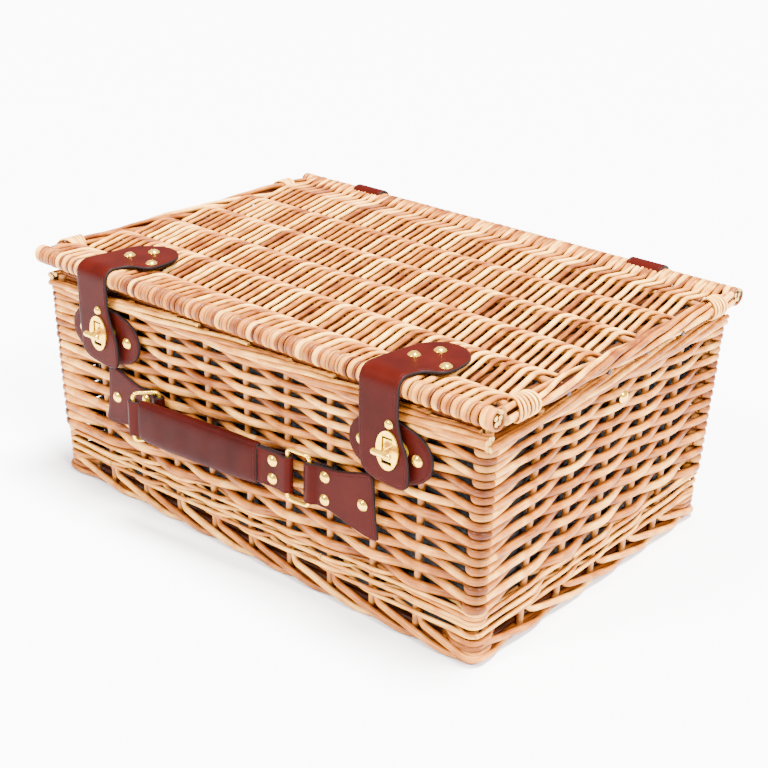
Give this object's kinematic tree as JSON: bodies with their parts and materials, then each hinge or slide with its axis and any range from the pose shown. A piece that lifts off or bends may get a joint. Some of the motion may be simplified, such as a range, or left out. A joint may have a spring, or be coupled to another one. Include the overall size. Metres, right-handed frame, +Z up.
{
  "type": "wicker picnic hamper",
  "caption": "Lidded wicker picnic hamper with leather straps, brass turn-locks, a padded carrying handle on brass rings and a dark cloth lining.",
  "frame": {"origin": "middle of the flat underside of the base, on the surface it stands on", "axes": "+X along the length, to the right seen from the front; -Y to the front with the clasps and handle; +Z up"},
  "size_m": [0.4642, 0.3483, 0.2052],
  "materials": {
    "wicker": "satin varnished willow rods",
    "willow_stick": "satin varnished willow sticks",
    "base_board": "woven base",
    "lining_cloth": "matt charcoal cloth",
    "brown_leather": "satin brown leather with dark edges",
    "padded_leather": "satin padded brown leather",
    "brass": "polished brass"
  },
  "bodies": {
    "basket": {"base_panel": "base_board", "base_sticks": "willow_stick", "body_lining": "lining_cloth", "clasp_patch_left": "brown_leather", "clasp_patch_right": "brown_leather", "clasp_patch_rivets": "brass", "corner_posts": "willow_stick", "foot_border": "wicker", "handle_tab_left": "brown_leather", "handle_tab_right": "brown_leather", "handle_tab_rivets": "brass", "hinge_strap_left": "brown_leather", "hinge_strap_right": "brown_leather", "hinge_strap_rivets": "brass", "rim_border": "wicker", "stakes_back": "willow_stick", "stakes_front": "willow_stick", "stakes_left": "willow_stick", "stakes_right": "willow_stick", "stay_studs": "brass", "turnlock_base_left": "brass", "turnlock_base_right": "brass", "weave_back": "wicker", "weave_corners": "wicker", "weave_front": "wicker", "weave_left": "wicker", "weave_right": "wicker"},
    "lid": {"lid_panel": "wicker", "lid_sticks": "willow_stick", "lid_roll_front": "wicker", "lid_roll_back": "wicker", "lid_core_front": "willow_stick", "lid_core_back": "willow_stick", "lid_border_left": "wicker", "lid_border_right": "wicker", "lid_lashings": "wicker", "lid_lining": "lining_cloth", "strap_pad_left": "brown_leather", "strap_pad_right": "brown_leather", "strap_pad_rivets": "brass"},
    "flap_left": {"strap_flap_left": "brown_leather", "eyelet_plate_left": "brass", "eyelet_rivet_left": "brass"},
    "flap_right": {"strap_flap_right": "brown_leather", "eyelet_plate_right": "brass", "eyelet_rivet_right": "brass"},
    "button_left": {"turn_button_left": "brass"},
    "button_right": {"turn_button_right": "brass"},
    "ring_left": {"ring_left": "brass"},
    "ring_right": {"ring_right": "brass"},
    "handle": {"handle_strap": "brown_leather", "handle_rivets": "brass"},
    "sleeve": {"handle_sleeve": "padded_leather"}
  },
  "joints": [
    {"name": "lid_hinge", "type": "hinge", "parent": "basket", "child": "lid", "pos_m": [0, 0.163, 0.184], "axis": [-1, 0, 0], "range_deg": [0, 100], "deforming": ["hinge_strap_left", "hinge_strap_right", "eyelet_plate_left", "eyelet_plate_right", "eyelet_rivet_left", "eyelet_rivet_right", "strap_flap_left", "strap_flap_right"]},
    {"name": "strap_left_lift", "type": "hinge", "parent": "lid", "child": "flap_left", "pos_m": [-0.149, -0.148, 0.2015], "axis": [-1, 0, 0], "range_deg": [0, 120], "deforming": ["eyelet_plate_left", "eyelet_rivet_left", "strap_flap_left"]},
    {"name": "turn_left", "type": "hinge", "parent": "basket", "child": "button_left", "pos_m": [-0.149, -0.165, 0.1485], "axis": [0, -1, 0], "range_deg": [0, 90]},
    {"name": "strap_right_lift", "type": "hinge", "parent": "lid", "child": "flap_right", "pos_m": [0.149, -0.148, 0.2015], "axis": [-1, 0, 0], "range_deg": [0, 120], "deforming": ["eyelet_plate_right", "eyelet_rivet_right", "strap_flap_right"]},
    {"name": "turn_right", "type": "hinge", "parent": "basket", "child": "button_right", "pos_m": [0.149, -0.165, 0.1485], "axis": [0, -1, 0], "range_deg": [0, 90]},
    {"name": "ring_left_swing", "type": "hinge", "parent": "basket", "child": "ring_left", "pos_m": [-0.086, -0.1604, 0.0955], "axis": [0, 0, 1], "range_deg": [0, 40.1]},
    {"name": "ring_right_swing", "type": "hinge", "parent": "basket", "child": "ring_right", "pos_m": [0.073, -0.1604, 0.0955], "axis": [0, 0, 1], "range_deg": [0, 66.5]},
    {"name": "handle_swing", "type": "hinge", "parent": "ring_left", "child": "handle", "pos_m": [-0.09886, -0.17572, 0.0955], "axis": [0, 0, 1], "range_deg": [-44.74, 0]},
    {"name": "sleeve_slide", "type": "slide", "parent": "handle", "child": "sleeve", "axis": [0.9959, 0.0899, 0], "range_m": [0, 0.009]}
  ],
  "couplings": [
    {"joint": "ring_left_swing", "follows": "handle_swing", "ratio": -0.89405},
    {"joint": "ring_right_swing", "follows": "handle_swing", "ratio": -1.4841}
  ]
}
